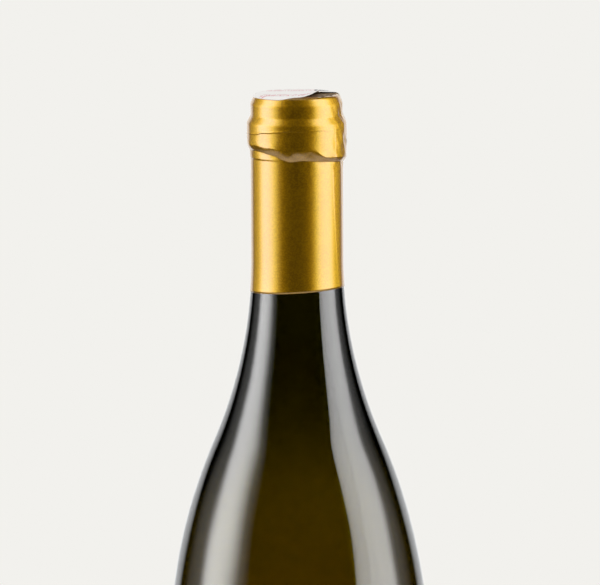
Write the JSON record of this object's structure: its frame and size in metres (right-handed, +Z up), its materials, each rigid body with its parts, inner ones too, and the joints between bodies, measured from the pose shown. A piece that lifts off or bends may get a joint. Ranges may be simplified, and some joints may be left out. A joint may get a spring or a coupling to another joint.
{
  "type": "wine bottle",
  "caption": "Sealed dark glass wine bottle with long sloping shoulders, wine inside, a gold foil capsule over the neck and a torn paper seal on top.",
  "frame": {"origin": "centre of the base, on the surface the bottle stands on", "axes": "+Z up along the bottle's axis, -Y the front, +X the right, towards which the capsule's hem rises"},
  "size_m": [0.078, 0.078, 0.3135],
  "materials": {
    "bottle_glass": "clear dark olive-brown glass, polished",
    "wine": "still wine seen through dark glass",
    "gold_foil": "satin gold foil",
    "seal_paper": "thin uncoated paper with a fine pink print"
  },
  "bodies": {
    "root": {"bottle": "bottle_glass", "wine": "wine", "capsule": "gold_foil", "paper_seal": "seal_paper"}
  },
  "joints": []
}
